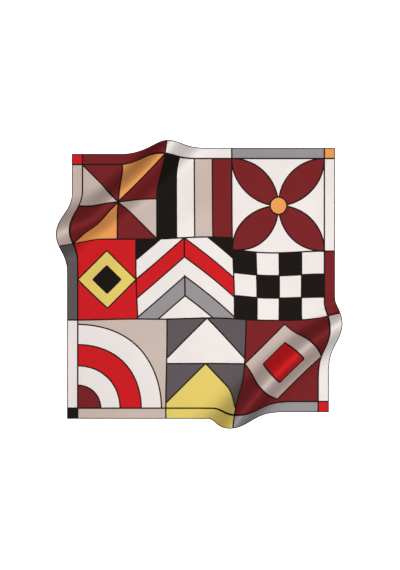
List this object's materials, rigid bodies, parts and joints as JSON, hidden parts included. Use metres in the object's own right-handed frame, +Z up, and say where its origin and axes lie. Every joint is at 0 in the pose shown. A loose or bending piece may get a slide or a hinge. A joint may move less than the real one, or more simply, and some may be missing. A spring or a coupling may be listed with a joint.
{
  "type": "headscarf",
  "caption": "Square silk headscarf laid out flat, with rolled hems and a soft ridge pushed up across two opposite corners.",
  "frame": {"origin": "on the surface that the scarf lies on, under the middle of its laid outline", "axes": "+Z up from the surface to the printed face, +Y to the top edge of the print, +X to its right edge"},
  "size_m": [0.9499, 0.9522, 0.0562],
  "materials": {
    "printed_silk": "silk twill with a soft sheen, printed in flat maroon, red, orange, yellow, taupe, grey, black and off-white shapes with black outlines",
    "rolled_hem": "the silk's dark maroon-brown border, rolled and hand-sewn in matching thread"
  },
  "bodies": {
    "root": {"panel": "printed_silk", "hem_top": "rolled_hem", "hem_right": "rolled_hem", "hem_bottom": "rolled_hem", "hem_left": "rolled_hem"}
  },
  "joints": []
}
